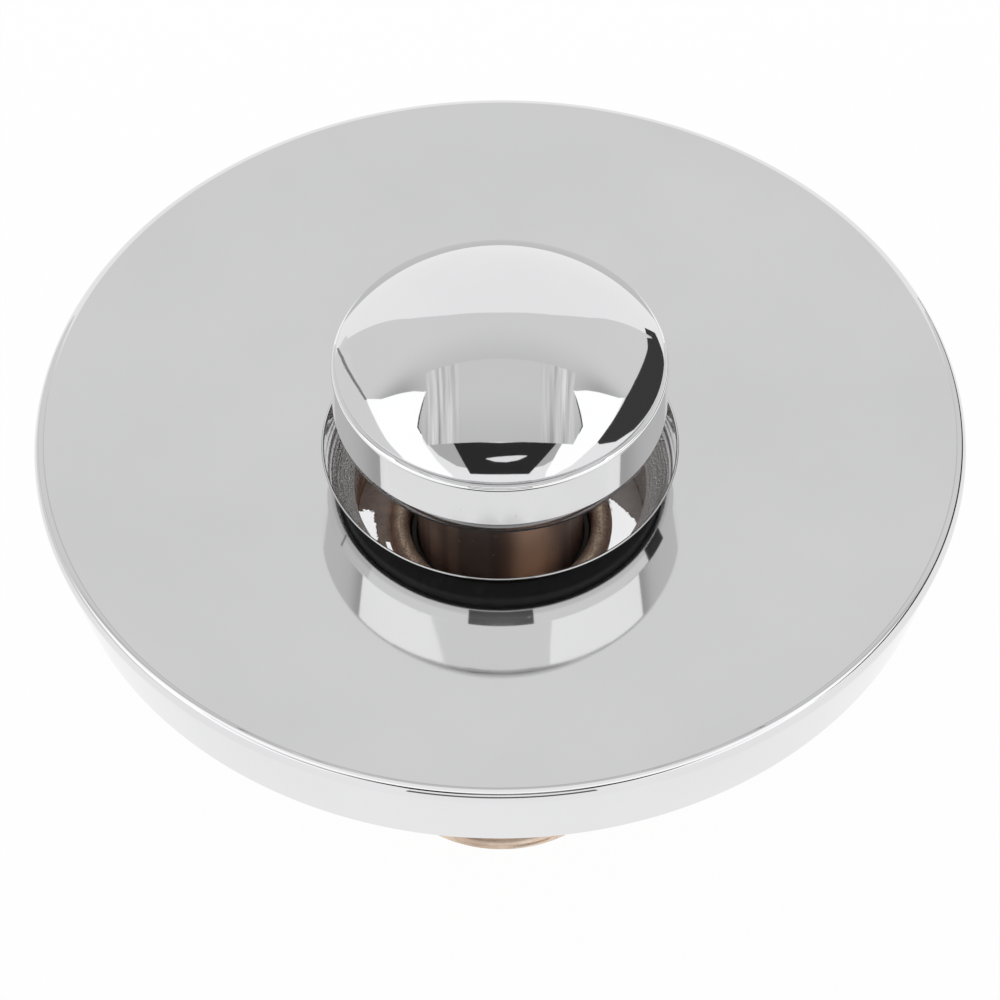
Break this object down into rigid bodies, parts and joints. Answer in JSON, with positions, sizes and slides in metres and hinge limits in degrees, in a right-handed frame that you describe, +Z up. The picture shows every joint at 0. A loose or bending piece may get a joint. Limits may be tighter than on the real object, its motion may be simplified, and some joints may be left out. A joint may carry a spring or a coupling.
{
  "type": "drain stopper",
  "caption": "Push-to-close domed drain stopper in a dished chrome cover plate, over a drain cup with a threaded brass tail, back nut and spring latch.",
  "frame": {"origin": "centre of the tail pipe's open lower end, on the drain's axis, which is the lowest plane of the part", "axes": "+Z up along the drain's axis out of the cover plate, +X to the viewer's right in the picture, +Y away from the viewer"},
  "size_m": [0.11, 0.11, 0.0845],
  "materials": {
    "plate_chrome": "mirror polished chrome plate",
    "cap_chrome": "mirror polished chrome plate",
    "cup_chrome": "rough turned, thin chrome plate",
    "tail_brass": "turned, bare",
    "cast_brass": "rough cast, brown",
    "stem_brass": "turned, darkened",
    "steel": "stainless, plain",
    "black_rubber": "matt",
    "white_plastic": "moulded, matt",
    "black_plastic": "moulded, matt"
  },
  "bodies": {
    "drain": {"cover_plate": "plate_chrome", "drain_cup": "cup_chrome", "deck_gasket": "black_rubber", "tail_pipe": "tail_brass", "cone_washer": "black_rubber", "slip_washer": "white_plastic", "back_nut": "tail_brass", "spider_hub": "cast_brass", "guide_bush": "black_plastic", "bottom_bridge": "cast_brass", "guide_post": "stem_brass", "post_nut": "steel", "post_clip": "steel", "spring_seat": "steel", "return_spring": "steel"},
    "stopper": {"stopper_dome": "cap_chrome", "stopper_skirt": "cap_chrome", "stopper_seal": "black_rubber", "seal_retainer": "stem_brass", "stem_sleeve": "stem_brass", "stem_clip": "steel", "cap_stud": "steel", "stud_nut": "steel", "plunger": "white_plastic"},
    "cam": {"cam_ring": "stem_brass", "cam_pins": "steel"}
  },
  "joints": [
    {"name": "stopper_slide", "type": "slide", "parent": "drain", "child": "stopper", "axis": [0, 0, 1], "range_m": [-0.0115, 0], "stiffness_N_per_m": 320, "springref_m": 0.0125, "deforming": ["return_spring"]},
    {"name": "cam_turn", "type": "hinge", "parent": "drain", "child": "cam", "pos_m": [0, 0, 0.0431], "axis": [0, 0, 1], "range_deg": [0, 90]}
  ],
  "couplings": [
    {"joint": "cam_turn", "follows": "stopper_slide", "rad_per_m": -136.59}
  ]
}
